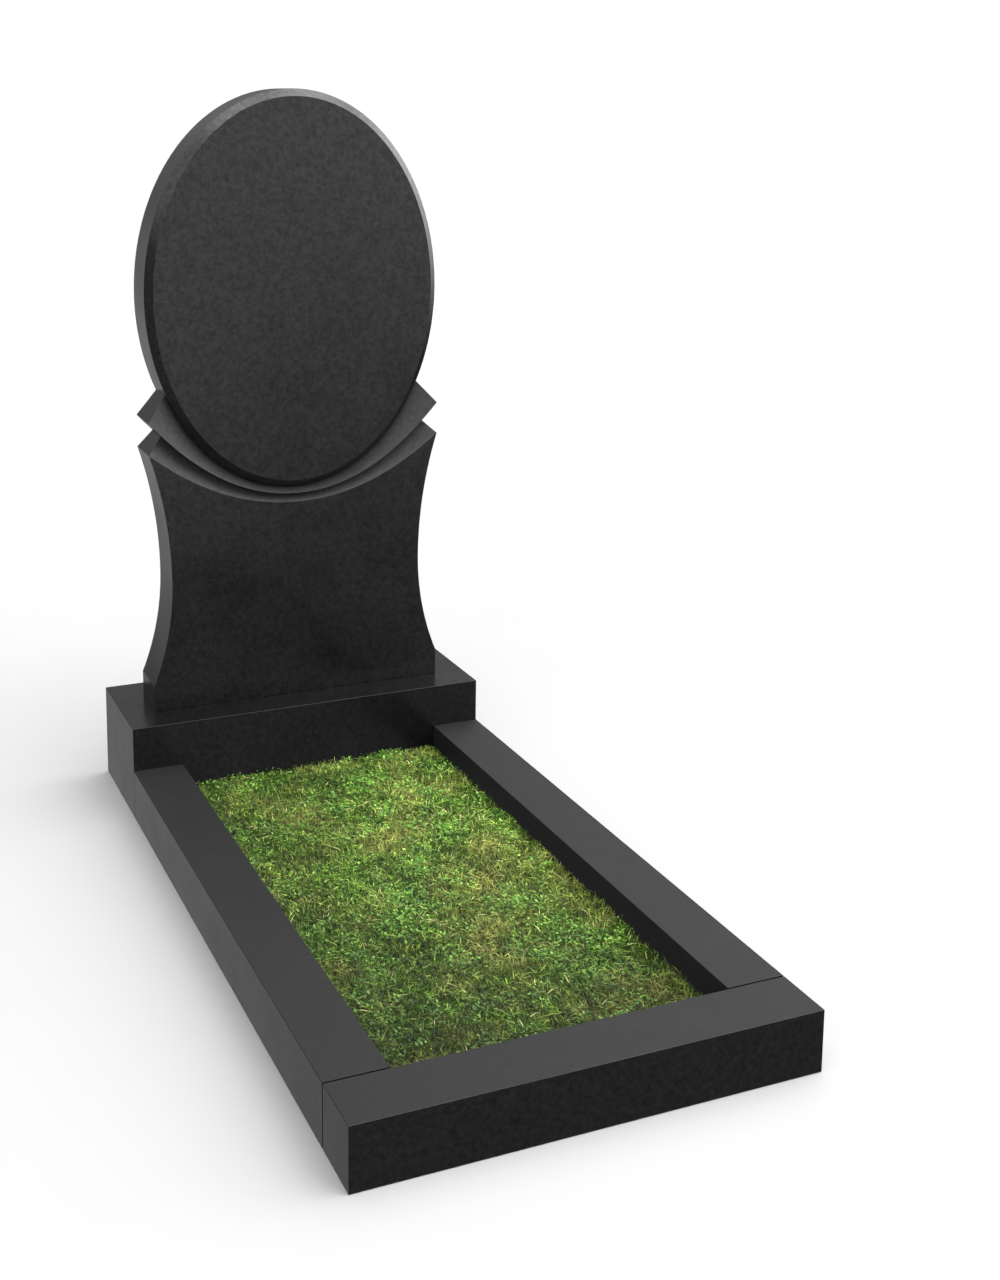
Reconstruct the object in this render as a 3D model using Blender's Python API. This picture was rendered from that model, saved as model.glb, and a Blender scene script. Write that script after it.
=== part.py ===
"""Grave monument: a carved oval stele on a plinth, with a kerbed plot of turf in front.

Metres, +Z up. X runs across the grave, -Y is the front (the foot of the plot) and +Y the
back. The ground is Z = 0, and the origin is the centre of the footprint.
Each visible piece of stone is one solid, and so is the turf.
"""
import math

import bmesh
import bpy
import numpy as np

# Blocks of the base

PLINTH_WIDTH = 0.600
PLINTH_DEPTH = 0.200
PLINTH_HEIGHT = 0.150
KERB_WIDTH = 0.080
KERB_HEIGHT = 0.080
KERB_FRAME_LENGTH = 0.970       # plinth front face to the outer face of the front kerb
TURF_HEIGHT = 0.038             # top of the soil and root mat, below the kerb tops
ARRIS = 0.0005                  # small bevel along every edge of a sawn block
TURF_EDGE = 0.0050              # the same along the softer edges of the turf
JOINT = 0.0003                  # gap between pieces that are laid against each other
GROUND_Z = 0.0

# Stele, heights measured up from its own foot

STELE_WIDTH = 0.498             # across the foot, the shoulders and the horn tips
STELE_HEIGHT = 1.002
STELE_THICKNESS = 0.080
FOOT_HEIGHT = 0.043             # straight part above the plinth
WAIST_HEIGHT = 0.212            # where the body is narrowest
WAIST_INSET = 0.0335            # how far each side curves in at the waist

OVAL_WIDTH = 0.497
OVAL_HEIGHT = 0.648
OVAL_CHAMFER = 0.012            # 45 degree chamfer round the oval's front edge
OVAL_WALL = 0.012               # straight wall between that chamfer and the carved crescent

# Crescent and shoulders, heights measured up from the lowest point of the oval

HORN_ROOT_RISE = 0.164          # where the horn's end cut meets the oval
HORN_TIP_RISE = 0.125
SHOULDER_RISE = 0.0725          # top corners of the body
NOTCH_INSET = 0.0255            # notch between horn and shoulder, in from the side
CRESCENT_THICKNESS = 0.0095     # crescent under the oval, at the centre
BODY_BAND_THICKNESS = 0.0145    # sloped band under the crescent, at the centre
ARC_POWER = 2.08                # how full the two carved arcs are, where 2 is a parabola

# Facets

UPPER_OVAL_STEPS = 96
CRESCENT_STEPS = 64             # from notch to notch
HORN_STEPS = 3                  # from notch to horn tip
WAIST_STEPS = 14                # each of the two arcs of a side
FINE_STEPS = 2000               # samples used to measure a curve's length
SMOOTH_ANGLE = math.radians(20) # faces that meet at less than this are shaded as one curve

# Finish of each piece: colour, roughness

GRANITE = ((0.020, 0.020, 0.021), 0.15)
TURF = ((0.105, 0.135, 0.035), 0.95)

# Places worked out from the sizes

TOTAL_DEPTH = PLINTH_DEPTH + KERB_FRAME_LENGTH
BACK_Y = TOTAL_DEPTH / 2
FRONT_Y = -TOTAL_DEPTH / 2
PLINTH_FRONT_Y = BACK_Y - PLINTH_DEPTH
FRONT_KERB_BACK_Y = FRONT_Y + KERB_WIDTH
STELE_FRONT_Y = BACK_Y - (PLINTH_DEPTH + STELE_THICKNESS) / 2
STELE_BASE_Z = PLINTH_HEIGHT + JOINT


def clear_scene():
    for piece in list(bpy.data.objects):
        bpy.data.objects.remove(piece, do_unlink=True)


def make_material(name, finish):
    colour, roughness = finish
    material = bpy.data.materials.new(name)
    material.use_nodes = True
    shader = material.node_tree.nodes["Principled BSDF"]
    shader.inputs["Base Color"].default_value = (*colour, 1.0)
    shader.inputs["Roughness"].default_value = roughness
    shader.inputs["Metallic"].default_value = 0.0
    return material


def add_object(name, mesh, finish):
    piece = bpy.data.objects.new(name, mesh)
    bpy.context.scene.collection.objects.link(piece)
    mesh.materials.append(make_material(name, finish))
    return piece


def add_block(name, x_range, y_range, z_range, finish, edge):
    """A rectangular block between three pairs of limits, with its edges cut off by edge."""
    limits = (x_range, y_range, z_range)
    mesh = bpy.data.meshes.new(name)
    shape = bmesh.new()
    for corner in bmesh.ops.create_cube(shape)["verts"]:
        corner.co = [high if side > 0 else low for side, (low, high) in zip(corner.co, limits)]
    shape.to_mesh(mesh)
    shape.free()
    block = add_object(name, mesh, finish)
    bevel = block.modifiers.new("edge", "BEVEL")
    bevel.width = edge
    bevel.segments = 1


# Outline of the stele, as points (x, height above the foot)

def oval_point(angle, inset=0.0):
    """Point on the oval at a parameter angle, moved in along the normal by inset."""
    half_width = OVAL_WIDTH / 2
    half_height = OVAL_HEIGHT / 2
    centre = STELE_HEIGHT - half_height
    normal_x = math.cos(angle) / half_width
    normal_z = math.sin(angle) / half_height
    length = math.hypot(normal_x, normal_z)
    x = half_width * math.cos(angle) - inset * normal_x / length
    z = centre + half_height * math.sin(angle) - inset * normal_z / length
    return x, z


def carved_arc(x, low, rise):
    """Height of an arc that dips to low at the centre and climbs by rise at the sides."""
    return low + rise * (abs(x) / (STELE_WIDTH / 2)) ** ARC_POWER


def lengths_along(points):
    steps = np.hypot(*np.diff(np.array(points), axis=0).T)
    return np.concatenate([[0.0], np.cumsum(steps)])


def by_length(curve, start, end, shares):
    """Parameters of a curve at given shares of its length between start and end."""
    fine = np.linspace(start, end, FINE_STEPS)
    lengths = lengths_along([curve(value) for value in fine])
    return np.interp(np.array(shares) * lengths[-1], lengths, fine)


def waist_side(top):
    """Right side of the body: foot's corner, straight foot, and the two arcs of the waist.

    The point at the shoulder itself is left to the body's carved arc.
    """
    half = STELE_WIDTH / 2
    foot_reach = WAIST_HEIGHT - FOOT_HEIGHT
    shoulder_reach = top - WAIST_HEIGHT
    points = [(half, 0.0)]
    for start, end, reach in ((-1, 0, foot_reach), (0, 1, shoulder_reach)):
        radius = (reach ** 2 + WAIST_INSET ** 2) / (2 * WAIST_INSET)
        sweep = math.asin(reach / radius)
        for share in np.linspace(start, end, WAIST_STEPS, endpoint=False):
            x = half - WAIST_INSET + radius * (1 - math.cos(share * sweep))
            points.append((x, WAIST_HEIGHT + radius * math.sin(share * sweep)))
    return points


def stele_curves():
    """The named curves that the stele's faces run between."""
    half = STELE_WIDTH / 2
    oval_low = STELE_HEIGHT - OVAL_HEIGHT
    crescent_low = oval_low - CRESCENT_THICKNESS
    body_low = crescent_low - BODY_BAND_THICKNESS
    tip = oval_low + HORN_TIP_RISE
    shoulder = oval_low + SHOULDER_RISE

    def crescent(x):
        return x, carved_arc(x, crescent_low, tip - crescent_low)

    def body_arc(x):
        return x, carved_arc(x, body_low, shoulder - body_low)

    # The crescent's lower edge, from the left horn's tip to the right one's.
    notch = half - NOTCH_INSET
    middle = by_length(crescent, -notch, notch, np.linspace(0, 1, CRESCENT_STEPS + 1))
    horn = np.linspace(notch, half, HORN_STEPS + 1)[1:]
    crescent_points = [crescent(x) for x in [*(-horn[::-1]), *middle, *horn]]

    # The oval's lower part is divided like the crescent, so the faces between them stay even.
    shares = lengths_along(crescent_points)
    root = math.asin(HORN_ROOT_RISE / (OVAL_HEIGHT / 2) - 1)
    lower = by_length(oval_point, -math.pi - root, root, shares / shares[-1])
    upper = by_length(oval_point, root, math.pi - root, np.linspace(0, 1, UPPER_OVAL_STEPS + 1))
    arc_across = by_length(body_arc, -half, half, np.linspace(0, 1, CRESCENT_STEPS + 1))
    return {
        "lower_oval": list(lower),
        "upper_oval": list(upper[1:-1]),
        "crescent": crescent_points,
        "body_arc": [body_arc(x) for x in arc_across],
        "right_side": waist_side(shoulder),
    }


def add_stele():
    """One slab: chamfered oval, sloped crescent, sloped band, waisted body and foot."""
    curves = stele_curves()
    relief = OVAL_CHAMFER + OVAL_WALL
    shape = bmesh.new()

    def ring(points, depth):
        """Vertices at points (x, height), depth behind the front face."""
        y = STELE_FRONT_Y + depth
        return [shape.verts.new((x, y, STELE_BASE_Z + z)) for x, z in points]

    def strip(first, second):
        """Faces between two rows of vertices."""
        for i in range(len(first) - 1):
            shape.faces.new((first[i], first[i + 1], second[i + 1], second[i]))

    # Oval: its points run from the left horn along the bottom and back over the top.
    lower, upper = curves["lower_oval"], curves["upper_oval"]
    oval_face = ring([oval_point(a, OVAL_CHAMFER) for a in lower + upper], 0.0)
    oval_front = ring([oval_point(a) for a in lower + upper], OVAL_CHAMFER)
    oval_root = ring([oval_point(a) for a in lower], relief)
    shape.faces.new(oval_face)
    strip(oval_face + oval_face[:1], oval_front + oval_front[:1])
    strip(oval_front[:len(lower)], oval_root)

    # Carving: each sloped band starts deep at a wall and comes forward to the front face.
    crescent = curves["crescent"]
    crescent_front = ring(crescent, 0.0)
    crescent_root = ring(crescent[HORN_STEPS:-HORN_STEPS], relief)
    arc_front = ring(curves["body_arc"], 0.0)
    strip(oval_root, crescent_front)
    strip(crescent_front[HORN_STEPS:-HORN_STEPS], crescent_root)
    strip(crescent_root, arc_front)

    # Body face: the sides run down the left, along the foot and up the right.
    right_side = curves["right_side"]
    sides = [(-x, z) for x, z in right_side[::-1]] + right_side
    sides_front = ring(sides, 0.0)
    shape.faces.new(arc_front + sides_front[::-1])

    # Outline at the depth of the carving, shared with the carving where they meet.
    shoulders = [curves["body_arc"][0], curves["body_arc"][-1]]
    top_deep = [oval_root[-1], *ring([oval_point(a) for a in upper], relief), oval_root[0]]
    left_horn_deep = [*ring(crescent[:HORN_STEPS], relief), crescent_root[0]]
    body_deep = ring([shoulders[0], *sides, shoulders[1]], relief)
    right_horn_deep = [crescent_root[-1], *ring(crescent[-HORN_STEPS:], relief)]
    strip([oval_front[len(lower) - 1], *oval_front[len(lower):], oval_front[0]], top_deep)
    strip(crescent_front[:HORN_STEPS + 1], left_horn_deep)
    strip([arc_front[0], *sides_front, arc_front[-1]], body_deep)
    strip(crescent_front[-HORN_STEPS - 1:], right_horn_deep)
    shape.faces.new((oval_root[0], crescent_front[0], left_horn_deep[0]))
    shape.faces.new((crescent_root[0], arc_front[0], body_deep[0]))
    shape.faces.new((crescent_root[-1], arc_front[-1], body_deep[-1]))
    shape.faces.new((oval_root[-1], crescent_front[-1], right_horn_deep[-1]))

    # The rest of the thickness, and the flat back.
    deep = top_deep + left_horn_deep + body_deep + right_horn_deep
    back = ring([(v.co.x, v.co.z - STELE_BASE_Z) for v in deep], STELE_THICKNESS)
    strip(deep + deep[:1], back + back[:1])
    shape.faces.new(back)

    mesh = bpy.data.meshes.new("stele")
    bmesh.ops.recalc_face_normals(shape, faces=shape.faces)
    shape.to_mesh(mesh)
    shape.free()
    mesh.shade_smooth()
    mesh.set_sharp_from_angle(angle=SMOOTH_ANGLE)
    add_object("stele", mesh, GRANITE)


def add_base():
    """Plinth, three kerbs butted together, and the turf inside them."""
    half = PLINTH_WIDTH / 2
    inner = half - KERB_WIDTH
    width = (-half, half)
    kerb_z = (GROUND_Z, KERB_HEIGHT)
    between_y = (FRONT_KERB_BACK_Y + JOINT, PLINTH_FRONT_Y - JOINT)
    add_block("plinth", width, (PLINTH_FRONT_Y, BACK_Y), (GROUND_Z, PLINTH_HEIGHT),
              GRANITE, ARRIS)
    add_block("kerb_front", width, (FRONT_Y, FRONT_KERB_BACK_Y), kerb_z, GRANITE, ARRIS)
    add_block("kerb_left", (-half, -inner), between_y, kerb_z, GRANITE, ARRIS)
    add_block("kerb_right", (inner, half), between_y, kerb_z, GRANITE, ARRIS)
    add_block("turf_bed", (-inner + JOINT, inner - JOINT), between_y, (GROUND_Z, TURF_HEIGHT),
              TURF, TURF_EDGE)


clear_scene()
add_base()
add_stele()
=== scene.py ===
"""Looks of the grave monument: black granite, and a plot of short grass.

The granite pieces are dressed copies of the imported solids, with eased edges. The turf, its
blades and its leaves are made here and stand inside the kerbs. Metres, in the frame of the
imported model.
"""

import math

import bmesh
import bpy
import numpy as np
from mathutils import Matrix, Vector, noise


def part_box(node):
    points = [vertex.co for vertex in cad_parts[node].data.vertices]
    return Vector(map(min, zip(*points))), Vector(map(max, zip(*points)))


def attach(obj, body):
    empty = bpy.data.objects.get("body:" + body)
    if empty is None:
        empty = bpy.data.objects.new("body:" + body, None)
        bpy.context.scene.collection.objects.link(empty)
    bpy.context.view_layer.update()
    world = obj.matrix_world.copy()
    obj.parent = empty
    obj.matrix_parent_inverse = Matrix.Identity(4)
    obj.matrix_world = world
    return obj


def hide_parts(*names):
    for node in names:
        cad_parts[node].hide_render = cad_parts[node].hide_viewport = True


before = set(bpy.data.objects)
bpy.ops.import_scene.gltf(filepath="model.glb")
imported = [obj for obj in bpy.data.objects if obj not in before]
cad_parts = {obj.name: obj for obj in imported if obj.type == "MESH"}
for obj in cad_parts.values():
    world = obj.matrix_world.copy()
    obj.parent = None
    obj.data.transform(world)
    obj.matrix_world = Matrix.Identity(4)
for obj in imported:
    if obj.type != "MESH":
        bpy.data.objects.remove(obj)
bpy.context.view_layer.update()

# Granite pieces

GRANITE_NODES = ("stele", "plinth", "kerb_left", "kerb_right", "kerb_front")
SIDE_KERBS = ("kerb_left", "kerb_right")
EASED_EDGE = 0.0001             # rounding where two faces meet
BUTT_JOINT = 0.0016             # taken off a side kerb's front end, so that the joint shows
SHARP_ANGLE = math.radians(25)
SAME_PLANE = math.radians(0.05)
WELD_DISTANCE = 0.00002
BAND_DEPTH = 0.020              # the carved bands slope back further than this
BAND_FACING = 0.3               # and face forward at least this much
STRAIGHT = 0.9                  # a face along an axis has a normal this long on it

# Granite finishes: tint of the grain, least and most roughness, strength of the reflection,
# and how much the grain varies tint and reflection

POLISHED = (0.0048, 0.17, 0.24, 0.5, 0.24)
HONED = (0.0045, 0.60, 0.68, 0.37, 0.06)
CARVED = (0.043, 0.48, 0.56, 0.15, 0.10)
POLISHED_SLOT, HONED_SLOT, CARVED_SLOT = range(3)
GRAIN_SIZE = 0.0080
FLECK_SIZE = 0.0022
FLECK_TINT = 0.03
CLOUD_SIZE = 1 / 14
GRANITE_IOR = 1.62

# Turf block

TURF_COLUMNS = 88
TURF_ROWS = 178
TURF_SINK = 0.002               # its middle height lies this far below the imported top
TURF_SHARE = 0.6                # how much of the lawn's unevenness it has
TURF_SHARP_ANGLE = math.radians(50)
LAWN_SWELL = (0.003, 14)        # height and waves per metre of the unevenness
CRUMBS = (0.0015, 160)          # the same of the crumbs in the turf's top
CRUMB_SIZE = 1 / 260
THATCH = ((0.020, 0.022, 0.012), (0.070, 0.072, 0.035), (0.150, 0.130, 0.070))

# Blades and leaves

LAWN_SEED = 11
LAWN_PATCHES = 5                # pieces along the plot
BLADES_PER_PATCH = 32000
BLADE_LENGTH = (0.005, 0.016)
BLADE_WIDTH = (0.0006, 0.0015)
BLADE_TAPER = 0.35              # share of the width that is lost before the tip
BLADE_LEAN = (0.85, 0.38)       # middle and spread, in radians from upright
BLADE_LEAN_LIMITS = (0.05, 1.45)
BLADE_CURL = (0.1, 0.9)         # further lean at the tip
BLADE_ROOT = 0.0365             # height that the blades grow from
BLADE_STEPS = 2                 # segments along a blade
STRAW_SHARE = 0.04              # dry blades, longer and lying on the others
STRAW_STRETCH = 1.4
STRAW_LEAN = 1.35
STRAW_LIFT = 0.008
LAWN_TOP = 0.050                # where most tips end
CLUMPS_PER_PATCH = 60           # low broad-leaved plants
LEAVES_PER_CLUMP = 40
CLUMP_SPREAD = 0.013
LEAF_LENGTH = (0.0030, 0.0065)
LEAF_BELOW_TOP = (0.007, 0.001)
LEAF_TILT = (-0.2, 0.7)
LEAF_TWIST = 0.3
LEAF_WIDEST = 0.55              # share of the length, from the stalk
LEAF_HALF_WIDTH = 0.32          # the same
EDGE_CLEARANCE = 0.0008         # blades stay this far from the stone

# Colours of the lawn, from the darkest blade or leaf to the palest

BLADE_GREENS = (
    (0.00, (0.018, 0.060, 0.006)), (0.30, (0.060, 0.150, 0.012)),
    (0.55, (0.125, 0.265, 0.024)), (0.78, (0.240, 0.420, 0.050)),
    (0.93, (0.460, 0.600, 0.120)), (1.00, (0.850, 0.780, 0.380)))
LEAF_GREENS = (
    (0.0, (0.030, 0.095, 0.010)), (0.5, (0.085, 0.215, 0.022)), (1.0, (0.220, 0.400, 0.070)))
DRY_GRASS = (0.420, 0.400, 0.110, 1.0)
DRY_SHARE = 0.60                # most of the dry colour that a patch takes
DRY_PATCH_SIZE = 1 / 13
TUFT_SIZE = 1 / 55
TUFT_TONES = (0.20, 1.85)       # darkest and lightest tuft
# Light and dark along an axis: from and to a place, and the tones at them; along X and Z it is
# painted shade, darker to the left and down at the roots
TONES_AND_PAINTED_SHADE_ALONG = {
    # X: painted shade, darker to the left, away from the strong light on the right
    "X": (-0.20, 0.20, 0.74, 1.28),
    "Y": (-0.50, -0.05, 0.36, 1.02),
    # Z: painted shade, darker down at the roots of the blades
    "Z": (BLADE_ROOT, LAWN_TOP, 0.15, 1.30),
}

# Studio light, as broad areas of the dome round the object. Azimuth (from the back, round by
# the right) and elevation of the middle, full within the first angle, gone beyond the second,
# all in degrees, and strength.

STUDIO_AREAS = {
    "overhead": (0, 90, 12, 45, 1.8),
    "upper back": (0, 45, 10, 42, 0.2),
    "upper right back": (60, 45, 10, 42, 1.6),
    "upper right front": (120, 45, 10, 42, 2.7),
    "upper front": (180, 60, 10, 37, 1.6),
    "upper left front": (240, 45, 10, 42, 1.1),
    "right": (90, 10, 6, 34, 3.2),
    "right front": (135, 10, 6, 34, 1.3),
    "front": (180, 3, 4, 28, 0.85),
    "left front": (225, 10, 6, 34, 1.15),
    "back": (0, 10, 6, 34, 0.18),
    "low back": (0, -25, 10, 40, 0.32),
    "low left": (240, -25, 10, 40, 0.2),
    "low front": (165, -30, 10, 40, 0.11),
}
AMBIENT = 0.03
WHITE = (1.0, 1.0, 1.0, 1.0)
BLACK = (0.0, 0.0, 0.0, 1.0)

# Floor and camera

FLOOR_ALBEDO = 0.495
FLOOR_MOTTLE = 0.02
FLOOR_GAP = 0.0005              # floor below the monument's foot
STAGE_RADIUS = 40.0
CAMERA_PLACE = (-0.8406, -2.0292, 1.1448)
CAMERA_TURN = math.radians(21.44)
CAMERA_TILT = math.radians(-9.71)
CAMERA_LENS = 45.72
CAMERA_SHIFT = (0.10, -0.21)


def add_node(tree, kind, inputs=None, **settings):
    """A shader node, with values or other nodes' outputs set on its inputs."""
    made = tree.nodes.new(kind)
    for name, value in settings.items():
        setattr(made, name, value)
    for key, value in (inputs or {}).items():
        if isinstance(value, bpy.types.NodeSocket):
            tree.links.new(value, made.inputs[key])
        else:
            made.inputs[key].default_value = value
    return made


def add_noise(tree, place, size, detail, roughness=0.5):
    made = add_node(tree, "ShaderNodeTexNoise", {
        "Vector": place, "Scale": 1 / size, "Detail": detail, "Roughness": roughness})
    return made.outputs["Fac"]


def add_ramp(tree, factor, stops):
    """A colour ramp through (position, colour) stops; a single number is a grey."""
    made = add_node(tree, "ShaderNodeValToRGB", {"Fac": factor})
    ramp = made.color_ramp
    while len(ramp.elements) < len(stops):
        ramp.elements.new(0.5)
    for element, (position, colour) in zip(ramp.elements, stops):
        colour = colour if isinstance(colour, tuple) else (colour,) * 3
        element.position = position
        element.color = (*colour, 1.0)
    return made.outputs["Color"]


def add_range(tree, value, start, end, low, high):
    """Value from start..end stretched to low..high."""
    made = add_node(tree, "ShaderNodeMapRange", {
        "Value": value, "From Min": start, "From Max": end, "To Min": low, "To Max": high})
    return made.outputs["Result"]


def add_mix(tree, blend, factor, first, second):
    made = add_node(tree, "ShaderNodeMix", {"Factor": factor, 6: first, 7: second},
                    data_type="RGBA", blend_type=blend)
    return made.outputs[2]


def add_bump(tree, shader, height, strength, distance):
    made = add_node(tree, "ShaderNodeBump", {
        "Height": height, "Strength": strength, "Distance": distance})
    tree.links.new(made.outputs["Normal"], shader.inputs["Normal"])


def new_material(name):
    material = bpy.data.materials.new(name)
    material.use_nodes = True
    tree = material.node_tree
    place = add_node(tree, "ShaderNodeTexCoord").outputs["Object"]
    return material, tree, tree.nodes["Principled BSDF"], place


def granite_material(name, tint, least_rough, most_rough, reflection, variation):
    """Black granite: fine grain, rare lighter flecks, slight clouding."""
    material, tree, shader, place = new_material(name)
    grain = add_noise(tree, place, GRAIN_SIZE, 5.0, 0.75)
    cloud = add_noise(tree, place, CLOUD_SIZE, 3.0)
    fleck = add_node(tree, "ShaderNodeTexVoronoi", {
        "Vector": place, "Scale": 1 / FLECK_SIZE}).outputs["Distance"]
    base = add_ramp(tree, grain, [
        (0.34, (1 - 2 * variation) * tint), (0.50, tint), (0.68, (1 + 2 * variation) * tint)])
    mica = add_ramp(tree, fleck, [(0.08, FLECK_TINT), (0.18, 0.0)])
    rare = add_ramp(tree, cloud, [(0.45, 0.0), (0.75, 1.0)])
    gloss = add_range(tree, grain, 0.36, 0.64, (1 - variation) * reflection,
                      (1 + variation) * reflection)
    rough = add_range(tree, cloud, 0.3, 0.7, least_rough, most_rough)
    tree.links.new(add_mix(tree, "ADD", rare, base, mica), shader.inputs["Base Color"])
    tree.links.new(rough, shader.inputs["Roughness"])
    tree.links.new(gloss, shader.inputs["Specular IOR Level"])
    add_bump(tree, shader, grain, 0.02, 0.0002)
    shader.inputs["IOR"].default_value = GRANITE_IOR
    return material


def lawn_tone_and_painted_shade(tree, place):
    """Light and dark of the lawn: tufts, darker at the front, and painted shade at the root and on
    the left.
    """
    tuft = add_noise(tree, place, TUFT_SIZE, 5.0, 0.75)
    spot = add_node(tree, "ShaderNodeSeparateXYZ", {"Vector": place}).outputs
    tone = add_range(tree, tuft, 0.34, 0.66, *TUFT_TONES)
    # The X and Z factors paint shade: darker on the left and down at the roots.
    for axis, tones in TONES_AND_PAINTED_SHADE_ALONG.items():
        factor = add_range(tree, spot[axis], *tones)
        tone = add_node(tree, "ShaderNodeMath", {0: tone, 1: factor}, operation="MULTIPLY").outputs[0]
    return tone


def finish_plant(material, tree, shader, colour, place, roughness, reflection):
    """Link a plant's colour, toned by its place in the lawn, partly with painted shade, and set its
    soft shine.
    """
    final = add_mix(tree, "MULTIPLY", 1.0, colour, lawn_tone_and_painted_shade(tree, place))
    tree.links.new(final, shader.inputs["Base Color"])
    shader.inputs["Roughness"].default_value = roughness
    shader.inputs["Specular IOR Level"].default_value = reflection
    return material


def grass_material():
    """Blades in mixed greens with dry ones among them, and drier patches of lawn."""
    material, tree, shader, place = new_material("grass")
    blade = add_node(tree, "ShaderNodeNewGeometry").outputs["Random Per Island"]
    patch = add_noise(tree, place, DRY_PATCH_SIZE, 4.0)
    green = add_ramp(tree, blade, BLADE_GREENS)
    dry = add_ramp(tree, patch, [(0.46, 0.0), (0.68, DRY_SHARE)])
    colour = add_mix(tree, "MIX", dry, green, DRY_GRASS)
    return finish_plant(material, tree, shader, colour, place, 0.6, 0.2)


def leaf_material():
    """Broad low leaves, bluer than the grass and with a soft shine."""
    material, tree, shader, place = new_material("leaf")
    leaf = add_node(tree, "ShaderNodeNewGeometry").outputs["Random Per Island"]
    green = add_ramp(tree, leaf, LEAF_GREENS)
    return finish_plant(material, tree, shader, green, place, 0.45, 0.3)


def soil_material():
    """Dark thatch and soil between the blades."""
    material, tree, shader, place = new_material("thatch")
    crumb = add_noise(tree, place, CRUMB_SIZE, 6.0)
    base = add_ramp(tree, crumb, list(zip((0.35, 0.55, 0.70), THATCH)))
    tree.links.new(base, shader.inputs["Base Color"])
    add_bump(tree, shader, crumb, 0.8, 0.002)
    shader.inputs["Roughness"].default_value = 0.95
    return material


def floor_material():
    material, tree, shader, place = new_material("pale_floor")
    mottle = add_node(tree, "ShaderNodeTexNoise", {"Vector": place, "Scale": 3.0}).outputs["Fac"]
    base = add_ramp(tree, mottle, [
        (0.0, (1 - FLOOR_MOTTLE) * FLOOR_ALBEDO), (1.0, (1 + FLOOR_MOTTLE) * FLOOR_ALBEDO)])
    tree.links.new(base, shader.inputs["Base Color"])
    shader.inputs["Roughness"].default_value = 0.9
    return material


def add_piece(name, mesh, materials, slot, *nodes):
    """A piece of the monument. As in the photo, the stone shows no reflection of the turf."""
    piece = bpy.data.objects.new(name, mesh)
    bpy.context.scene.collection.objects.link(piece)
    for material in materials:
        mesh.materials.append(material)
    piece.visible_glossy = slot != "turf"
    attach(piece, "root")
    if nodes:
        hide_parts(*nodes)
    return piece


def finish_of(node, face):
    """Which finish a face has.

    Carved are the bands of the stele. Honed are the tops and inner sides of the kerbs, and
    the blocks' slanted arrises. The rest is polished.
    """
    if node == "stele":
        depths = [corner.co.y for corner in face.verts]
        band = max(depths) - min(depths) > BAND_DEPTH and abs(face.normal.y) > BAND_FACING
        return CARVED_SLOT if band else POLISHED_SLOT
    plot = sum((Vector(corner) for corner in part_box("turf_bed")), Vector()) / 2
    inner = face.normal.dot(plot - face.calc_center_median()) > 0
    slanted = max(abs(part) for part in face.normal) < STRAIGHT
    top = face.normal.z > STRAIGHT
    honed = slanted or (node.startswith("kerb") and (inner or top))
    return HONED_SLOT if honed else POLISHED_SLOT


def dress_stone(node, finishes):
    """A copy of a packed stone with its faces joined up and its edges eased."""
    low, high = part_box(node)
    shape = bmesh.new()
    shape.from_mesh(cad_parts[node].data)
    bmesh.ops.remove_doubles(shape, verts=shape.verts, dist=WELD_DISTANCE)
    bmesh.ops.dissolve_limit(shape, angle_limit=SAME_PLANE, verts=shape.verts, edges=shape.edges)
    if node in SIDE_KERBS:
        for corner in shape.verts:
            corner.co.y = max(corner.co.y, low[1] + BUTT_JOINT)
        bmesh.ops.remove_doubles(shape, verts=shape.verts, dist=WELD_DISTANCE)
    bmesh.ops.recalc_face_normals(shape, faces=shape.faces)
    for face in shape.faces:
        face.material_index = finish_of(node, face)
    mesh = bpy.data.meshes.new(f"{node}_granite")
    shape.to_mesh(mesh)
    shape.free()
    mesh.shade_smooth()
    mesh.set_sharp_from_angle(angle=SHARP_ANGLE)
    piece = add_piece(f"{node}_granite", mesh, finishes, "granite", node)
    bevel = piece.modifiers.new("eased_edges", "BEVEL")
    bevel.limit_method = "ANGLE"
    bevel.angle_limit = SHARP_ANGLE
    bevel.width = EASED_EDGE
    bevel.segments = 2
    bevel.material = HONED_SLOT
    flatten = piece.modifiers.new("flat_faces_stay_flat", "WEIGHTED_NORMAL")
    flatten.keep_sharp = True


def swell(x, y, height, waves, layer):
    """A smooth random height at (x, y), about as much up as down."""
    return height * noise.noise(Vector((x * waves, y * waves, layer)))


def lawn_height(x, y):
    """Unevenness of the lawn."""
    return swell(x, y, *LAWN_SWELL, 0.3)


def add_turf(material):
    """The turf block with a crumbly, gently uneven top."""
    low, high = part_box("turf_bed")
    middle = high[2] - TURF_SINK
    xs = np.linspace(low[0], high[0], TURF_COLUMNS + 1)
    ys = np.linspace(low[1], high[1], TURF_ROWS + 1)
    shape = bmesh.new()
    top = [[shape.verts.new((x, y, middle + lawn_height(x, y) * TURF_SHARE
                             + swell(x, y, *CRUMBS, 1.7)))
            for x in xs] for y in ys]
    for near, far in zip(top, top[1:]):
        for i in range(TURF_COLUMNS):
            shape.faces.new((near[i], near[i + 1], far[i + 1], far[i]))
    front, back = top[0][:-1], top[-1][:0:-1]
    right, left = [row[-1] for row in top[:-1]], [row[0] for row in top[:0:-1]]
    rim = front + right + back + left
    foot = [shape.verts.new((corner.co.x, corner.co.y, low[2])) for corner in rim]
    for i, corner in enumerate(rim):
        after = (i + 1) % len(rim)
        shape.faces.new((rim[after], corner, foot[i], foot[after]))
    shape.faces.new(foot[::-1])
    bmesh.ops.recalc_face_normals(shape, faces=shape.faces)
    mesh = bpy.data.meshes.new("turf")
    shape.to_mesh(mesh)
    shape.free()
    mesh.shade_smooth()
    mesh.set_sharp_from_angle(angle=TURF_SHARP_ANGLE)
    add_piece("turf", mesh, (material,), "turf", "turf_bed")


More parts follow.
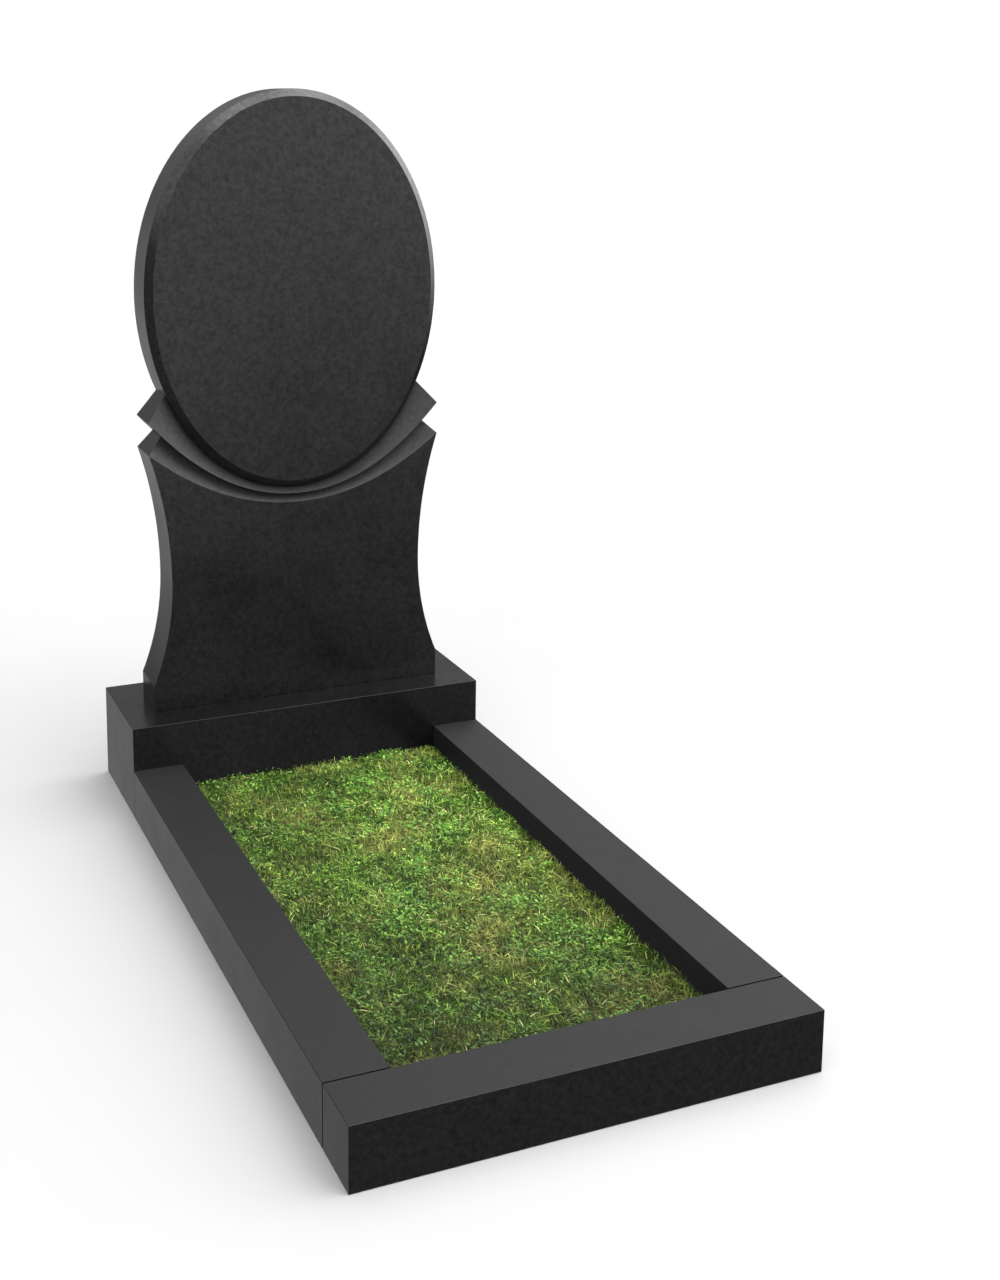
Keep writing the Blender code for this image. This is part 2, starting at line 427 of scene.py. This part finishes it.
def blade_points(chance, low, high):
    """Points of the bent blades of a patch, two at each step and one at the tip."""
    count = BLADES_PER_PATCH
    x = chance.uniform(low[0], high[0], count)
    y = chance.uniform(low[1], high[1], count)
    straw = chance.random(count) < STRAW_SHARE
    length = chance.uniform(*BLADE_LENGTH, count) * np.where(straw, STRAW_STRETCH, 1.0)
    width = chance.uniform(*BLADE_WIDTH, count)
    heading = chance.uniform(0, 2 * math.pi, count)
    lean = np.clip(chance.normal(*BLADE_LEAN, count), *BLADE_LEAN_LIMITS)
    lean = np.where(straw, STRAW_LEAN, lean)
    curl = chance.uniform(*BLADE_CURL, count)
    rise = np.array([lawn_height(a, b) for a, b in zip(x, y)])
    along = np.stack([np.cos(heading), np.sin(heading)])
    across = np.stack([-along[1], along[0]])
    place = np.stack([x, y, BLADE_ROOT + rise + np.where(straw, STRAW_LIFT, 0.0)])
    rows = []
    for step in range(BLADE_STEPS):
        half = width / 2 * (1 - BLADE_TAPER * step / BLADE_STEPS)
        side = np.vstack([across * half, np.zeros(count)])
        rows += [place - side, place + side]
        angle = lean + curl * step / BLADE_STEPS
        reach = length / BLADE_STEPS
        place = place + np.vstack([along * np.sin(angle) * reach, np.cos(angle) * reach])
    return np.stack([*rows, place], axis=1).transpose(2, 1, 0)


def leaf_points(chance, low, high):
    """Points of small diamond leaves in clumps: stalk end, left, right and tip of each."""
    count = CLUMPS_PER_PATCH * LEAVES_PER_CLUMP
    clumps = chance.uniform(low, high, (CLUMPS_PER_PATCH, 2)).repeat(LEAVES_PER_CLUMP, 0)
    x, y = (clumps + chance.normal(0, CLUMP_SPREAD, (count, 2))).T
    z = chance.uniform(*(LAWN_TOP - below for below in LEAF_BELOW_TOP), count)
    rise = np.array([lawn_height(a, b) for a, b in zip(x, y)])
    length = chance.uniform(*LEAF_LENGTH, count)
    heading = chance.uniform(0, 2 * math.pi, count)
    tilt = chance.uniform(*LEAF_TILT, count)
    twist = chance.uniform(-LEAF_TWIST, LEAF_TWIST, count)
    along = np.stack([np.cos(heading) * np.cos(tilt), np.sin(heading) * np.cos(tilt), np.sin(tilt)])
    across = np.stack([-np.sin(heading), np.cos(heading), twist])
    stalk = np.stack([x, y, z + rise])
    widest = stalk + LEAF_WIDEST * length * along
    side = LEAF_HALF_WIDTH * length * across
    tip = stalk + length * along
    return np.stack([stalk, widest - side, widest + side, tip], axis=1).transpose(2, 1, 0)


def add_lawn(materials):
    """Blades and leaves, in patches from the foot of the plot to its head."""
    chance = np.random.default_rng(LAWN_SEED)
    low, high = (np.array(corner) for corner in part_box("turf_bed"))
    borders = np.linspace(low[1], high[1], LAWN_PATCHES + 1)
    blade_faces = [np.array([0, 1, 3, 2]) + 2 * step for step in range(BLADE_STEPS - 1)]
    blade_faces.append(np.array([0, 1, 2]) + 2 * (BLADE_STEPS - 1))
    leaf_faces = [np.array([0, 1, 3]), np.array([0, 3, 2])]
    for patch in range(LAWN_PATCHES):
        start = (low[0], borders[patch])
        end = (high[0], borders[patch + 1])
        plants = [(blade_points(chance, start, end), blade_faces),
                  (leaf_points(chance, start, end), leaf_faces)]
        vertices, faces, kinds = [], [], []
        used = 0
        for kind, (points, pattern) in enumerate(plants):
            first = used + np.arange(len(points))[:, None] * points.shape[1]
            for corners in pattern:
                faces += (first + corners).tolist()
                kinds += [kind] * len(points)
            vertices.append(points.reshape(-1, 3))
            used += len(vertices[-1])
        vertices = np.concatenate(vertices)
        vertices[:, :2] = np.clip(vertices[:, :2], low[:2] + EDGE_CLEARANCE,
                                  high[:2] - EDGE_CLEARANCE)
        mesh = bpy.data.meshes.new(f"grass_{patch + 1}")
        mesh.from_pydata(vertices.tolist(), [], faces)
        mesh.polygons.foreach_set("material_index", kinds)
        mesh.shade_smooth()
        add_piece(f"grass_{patch + 1}", mesh, materials, "turf")


def add_stage(name, shape, material):
    """A piece of the studio, which reflections pass through."""
    mesh = bpy.data.meshes.new(name)
    shape.to_mesh(mesh)
    shape.free()
    mesh.shade_smooth()
    mesh.materials.append(material)
    stage = bpy.data.objects.new(name, mesh)
    bpy.context.scene.collection.objects.link(stage)
    stage.visible_glossy = False
    return stage


def add_floor():
    shape = bmesh.new()
    bmesh.ops.create_circle(shape, cap_ends=True, segments=64, radius=STAGE_RADIUS)
    floor = add_stage("floor", shape, floor_material())
    floor.location.z = -FLOOR_GAP


def add_backdrop():
    """A plain pale dome behind everything, as bright as the floor."""
    shape = bmesh.new()
    bmesh.ops.create_uvsphere(shape, u_segments=64, v_segments=32, radius=STAGE_RADIUS)
    material = bpy.data.materials.new("backdrop")
    material.use_nodes = True
    shader = material.node_tree.nodes["Principled BSDF"]
    shader.inputs["Base Color"].default_value = BLACK
    shader.inputs["Emission Color"].default_value = WHITE
    shader.inputs["Emission Strength"].default_value = 1.0
    backdrop = add_stage("backdrop", shape, material)
    backdrop.visible_diffuse = False
    backdrop.visible_shadow = False


def add_light():
    """Soft studio light from the areas of the dome, and near dark between them."""
    world = bpy.data.worlds.new("studio")
    bpy.context.scene.world = world
    world.use_nodes = True
    tree = world.node_tree
    sight = add_node(tree, "ShaderNodeTexCoord").outputs["Generated"]
    total = AMBIENT
    for azimuth, elevation, inner, outer, strength in STUDIO_AREAS.values():
        turn, rise = math.radians(azimuth), math.radians(elevation)
        axis = (math.sin(turn) * math.cos(rise), math.cos(turn) * math.cos(rise), math.sin(rise))
        along = add_node(tree, "ShaderNodeVectorMath", {0: sight, 1: axis}, operation="DOT_PRODUCT")
        fade = add_node(tree, "ShaderNodeMapRange", {
            "Value": along.outputs["Value"], "From Min": math.cos(math.radians(outer)),
            "From Max": math.cos(math.radians(inner)), "To Max": strength},
            interpolation_type="SMOOTHSTEP")
        total = add_node(tree, "ShaderNodeMath", {0: total, 1: fade.outputs["Result"]}).outputs[0]
    background = tree.nodes["Background"]
    background.inputs["Color"].default_value = WHITE
    tree.links.new(total, background.inputs["Strength"])


def add_camera():
    data = bpy.data.cameras.new("camera")
    data.lens = CAMERA_LENS
    data.shift_x, data.shift_y = CAMERA_SHIFT
    camera = bpy.data.objects.new("camera", data)
    bpy.context.scene.collection.objects.link(camera)
    camera.location = CAMERA_PLACE
    camera.rotation_euler = (math.pi / 2 + CAMERA_TILT, 0.0, -CAMERA_TURN)
    bpy.context.scene.camera = camera


# In the order of the slots above
finishes = (granite_material("polished_granite", *POLISHED),
            granite_material("honed_granite", *HONED),
            granite_material("carved_granite", *CARVED))
for node in GRANITE_NODES:
    dress_stone(node, finishes)
add_turf(soil_material())
add_lawn((grass_material(), leaf_material()))
add_floor()
add_backdrop()
add_light()
bpy.context.scene.view_settings.view_transform = "Standard"
add_camera()
